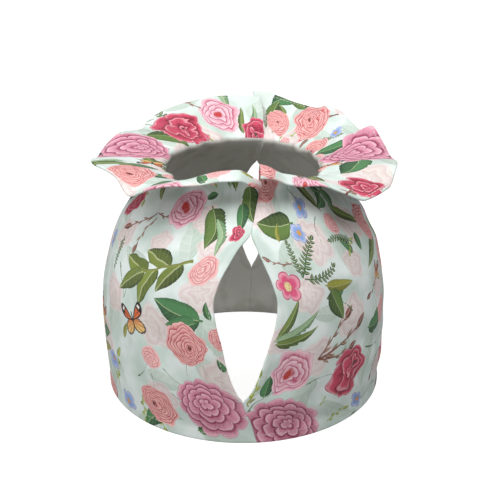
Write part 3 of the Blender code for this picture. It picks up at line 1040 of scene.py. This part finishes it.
class CosyStage(bpy.types.PropertyGroup):
    """Camera, lights and floor."""

    distance: bpy.props.FloatProperty(
        name="Distance", description="From the camera to the cosy's middle", subtype="DISTANCE",
        unit="LENGTH", default=0.80, min=0.3, max=5)
    down: bpy.props.FloatProperty(
        name="Looking Down", description="How far the camera looks down", subtype="ANGLE",
        default=math.radians(24.33), min=0, max=1.5)
    lens: bpy.props.FloatProperty(
        name="Lens", description="Focal length on a 36 mm sensor, in millimetres",
        default=94.4, min=20, max=300)
    key: power("Key Light", "Power of the large soft light above, in watts", 19.4)
    fill: power("Fill Light", "Power of the weaker light at the left, in watts", 3.0)
    paleness: bpy.props.FloatProperty(
        name="Floor Paleness", description="How far the camera sees the floor lifted towards white",
        default=0.88, min=0, max=2)
    ambient: bpy.props.FloatProperty(
        name="Ambient", description="Strength of the even light from all round",
        default=0.18, min=0, max=5)


class COSY_OT_left_panel(bpy.types.Operator):
    """Build the left panel of printed cloth"""

    bl_idname = "cosy.left_panel"
    bl_label = "Left Panel"
    bl_options = {"REGISTER", "UNDO"}

    def execute(self, context):
        make_panel("left")
        return {"FINISHED"}


class COSY_OT_right_panel(bpy.types.Operator):
    """Build the right panel of printed cloth"""

    bl_idname = "cosy.right_panel"
    bl_label = "Right Panel"
    bl_options = {"REGISTER", "UNDO"}

    def execute(self, context):
        make_panel("right")
        return {"FINISHED"}


def look_at(thing, target):
    thing.rotation_euler = (Vector(target) - thing.location).to_track_quat("-Z", "Y").to_euler()


def add_object(name, data, place=(0, 0, 0)):
    thing = bpy.data.objects.new(name, data)
    thing.location = place
    bpy.context.scene.collection.objects.link(thing)
    return thing


FLOOR_REACH = 15.0
FLOOR_SURFACE = {"Base Color": (0.35, 0.35, 0.35, 1), "Roughness": 0.9, "Specular IOR Level": 0.1}
# The lights by their setting: place, width and depth.
LIGHTS = {"key": ((-0.04, -0.40, 1.18), 2.0, 0.7), "fill": ((-0.9, -0.7, 0.5), 0.8, 0.8)}
LIGHT_TARGET = (0, 0, 0.08)
CAMERA_TARGET = (0.0034, -0.0001, 0.0847)
SENSOR_WIDTH = 36


class COSY_OT_stage(bpy.types.Operator):
    """Lay the pale floor, set the soft lights and place the camera"""

    bl_idname = "cosy.stage"
    bl_label = "Stage"
    bl_options = {"REGISTER", "UNDO"}

    def execute(self, context):
        scene, settings = context.scene, context.scene.cosy_stage
        mesh = bpy.data.meshes.new("floor")
        corners = [(x * FLOOR_REACH, y * FLOOR_REACH, 0) for x, y in ((-1, -1), (1, -1), (1, 1), (-1, 1))]
        mesh.from_pydata(corners, [], [(0, 1, 2, 3)])
        material = bpy.data.materials.new("pale_floor")
        material.use_nodes = True
        tree = material.node_tree
        shader = tree.nodes["Principled BSDF"]
        set_inputs(shader, {**FLOOR_SURFACE, "Emission Strength": settings.paleness})
        seen = add_node(tree, "ShaderNodeLightPath").outputs["Is Camera Ray"]
        tree.links.new(seen, shader.inputs["Emission Color"])
        mesh.materials.append(material)
        add_object("floor", mesh)

        world = bpy.data.worlds.new("soft_surround")
        world.use_nodes = True
        set_inputs(world.node_tree.nodes["Background"], {"Color": WHITE, "Strength": settings.ambient})
        scene.world = world
        scene.view_settings.view_transform = "Standard"

        for name, (place, width, depth) in LIGHTS.items():
            light = bpy.data.lights.new(name + "_light", "AREA")
            light.shape, light.size, light.size_y = "RECTANGLE", width, depth
            light.energy = getattr(settings, name)
            look_at(add_object(name + "_light", light, place), LIGHT_TARGET)

        back = Vector((0, -math.cos(settings.down), math.sin(settings.down)))
        camera = add_object("camera", bpy.data.cameras.new("camera"),
                            Vector(CAMERA_TARGET) + back * settings.distance)
        camera.data.lens, camera.data.sensor_width = settings.lens, SENSOR_WIDTH
        look_at(camera, CAMERA_TARGET)
        scene.camera = camera
        return {"FINISHED"}


class COSY_PT_sidebar(bpy.types.Panel):
    """Lists the cosy's pieces and their settings"""

    bl_idname = "COSY_PT_sidebar"
    bl_label = "Tea Cosy"
    bl_space_type = "VIEW_3D"
    bl_region_type = "UI"
    bl_category = "Tea Cosy"

    def draw(self, context):
        for settings in (context.scene.cosy_print, context.scene.cosy_stage):
            box = self.layout.box()
            for name in settings.__annotations__:
                box.prop(settings, name)
        for operator in PIECES:
            self.layout.operator(operator.bl_idname)


PIECES = (COSY_OT_left_panel, COSY_OT_right_panel, COSY_OT_stage)
CLASSES = (CosyPrint, CosyStage, *PIECES, COSY_PT_sidebar)


def register():
    for cls in CLASSES:
        bpy.utils.register_class(cls)
    bpy.types.Scene.cosy_print = bpy.props.PointerProperty(type=CosyPrint)
    bpy.types.Scene.cosy_stage = bpy.props.PointerProperty(type=CosyStage)


def unregister():
    del bpy.types.Scene.cosy_stage
    del bpy.types.Scene.cosy_print
    for cls in reversed(CLASSES):
        bpy.utils.unregister_class(cls)


def main():
    register()
    bpy.ops.cosy.left_panel()
    bpy.ops.cosy.right_panel()
    bpy.ops.cosy.stage()


if __name__ == "__main__":
    main()
